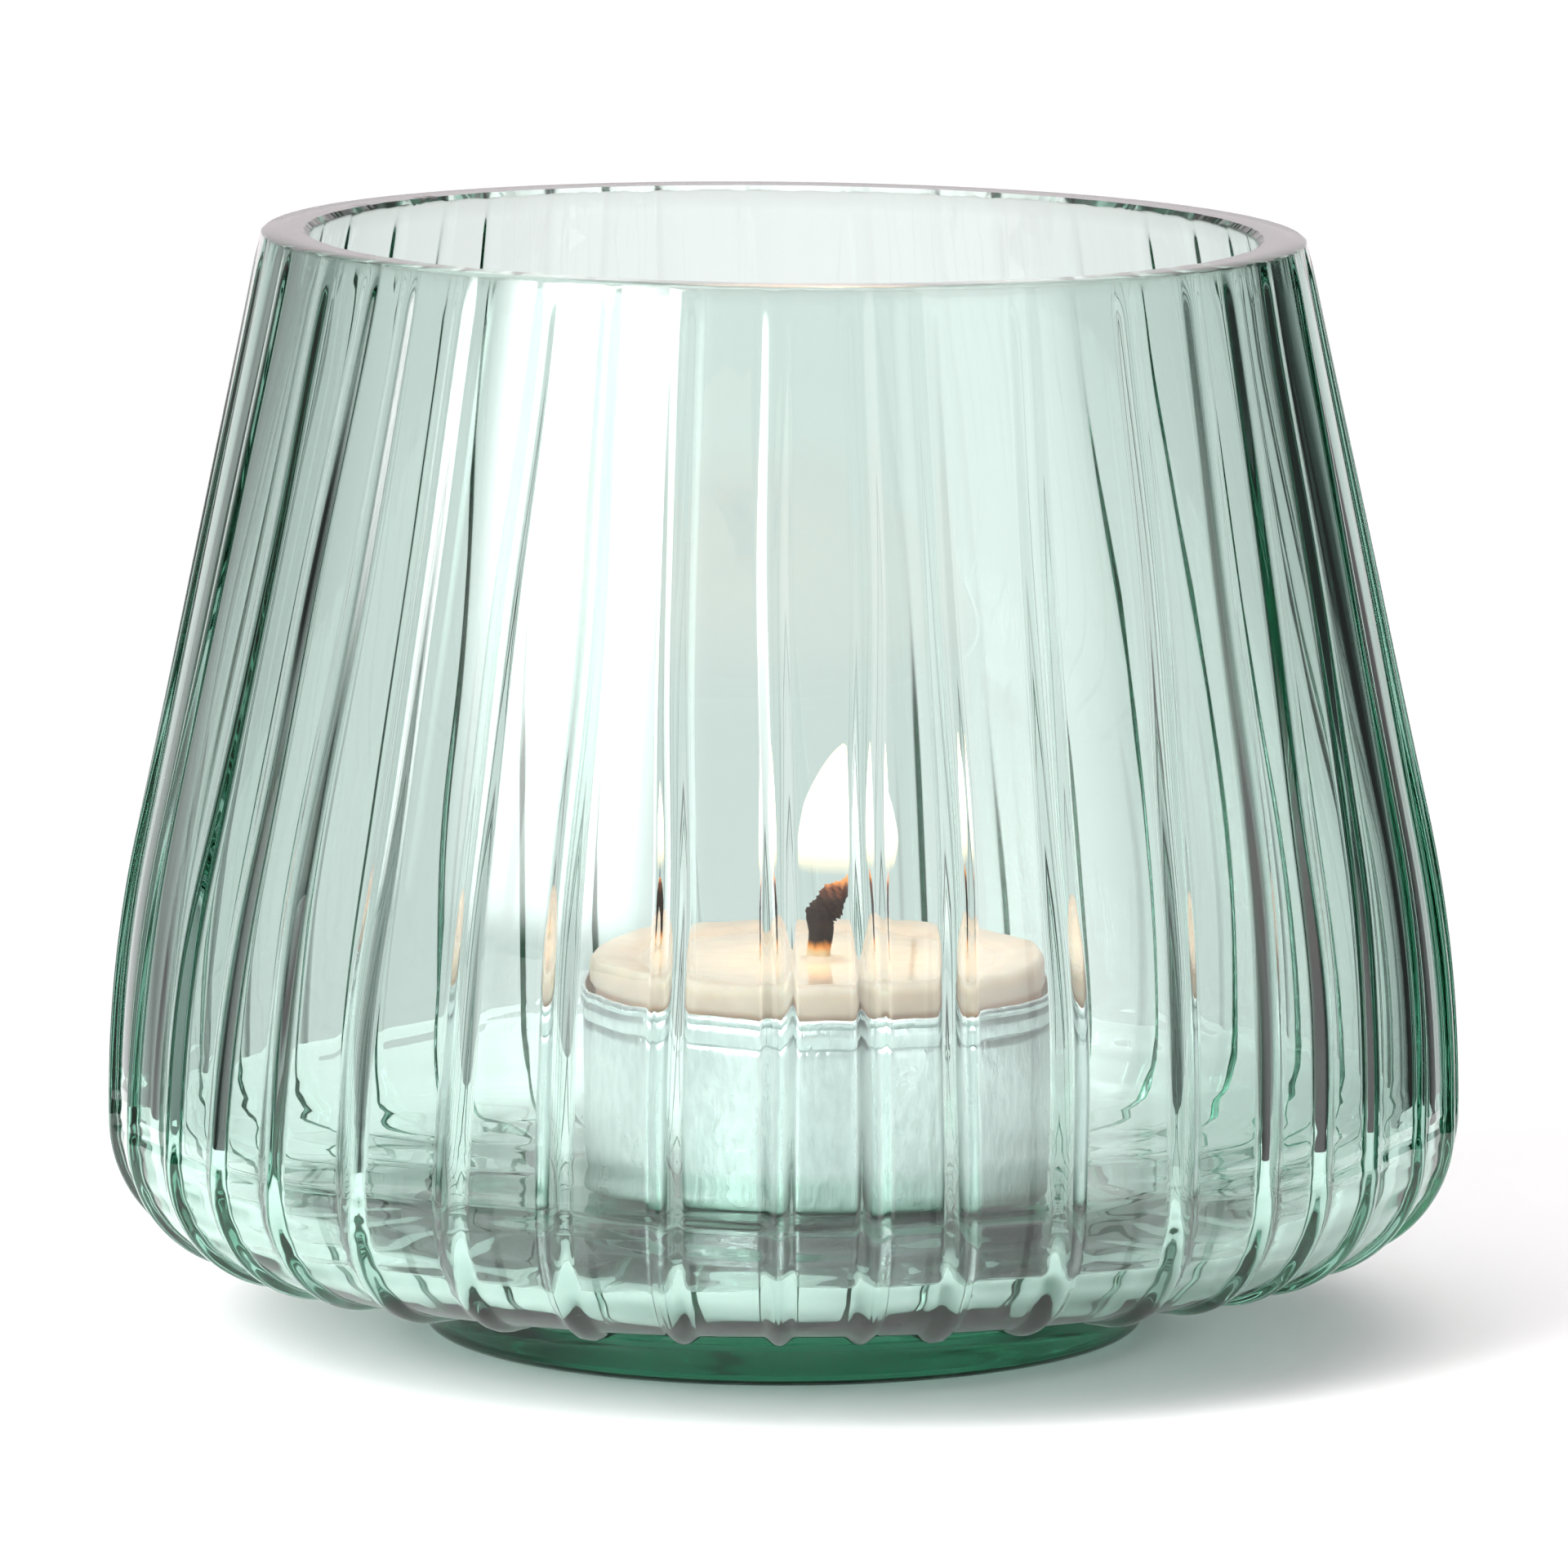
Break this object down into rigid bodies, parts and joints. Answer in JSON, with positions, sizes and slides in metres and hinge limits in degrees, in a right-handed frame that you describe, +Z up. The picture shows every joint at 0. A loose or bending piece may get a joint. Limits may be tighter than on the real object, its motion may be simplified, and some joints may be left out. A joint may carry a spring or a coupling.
{
  "type": "tealight holder",
  "caption": "Ribbed green-tinted glass bowl on a solid round foot, with a ground rim, holding a tealight in an aluminium cup.",
  "frame": {"origin": "centre of the foot's underside, on the surface the holder stands on", "axes": "+Z up along the axis of the bowl, -Y the front of the object, +X to the right seen from the front"},
  "size_m": [0.1049, 0.1049, 0.0854],
  "materials": {
    "green_glass": "gloss",
    "cup_aluminium": "satin",
    "paraffin": "satin",
    "wick_cotton": "matte",
    "tinplate": "satin"
  },
  "bodies": {
    "holder": {"glass_holder": "green_glass"},
    "tealight": {"tealight_cup": "cup_aluminium"},
    "candle": {"wax_body": "paraffin", "wick": "wick_cotton", "wick_sustainer": "tinplate"}
  },
  "joints": [
    {"name": "tealight_lift", "type": "slide", "parent": "holder", "child": "tealight", "axis": [0, 0, 1], "range_m": [0, 0.08]},
    {"name": "candle_lift", "type": "slide", "parent": "tealight", "child": "candle", "axis": [0, 0, 1], "range_m": [0, 0.02]}
  ]
}
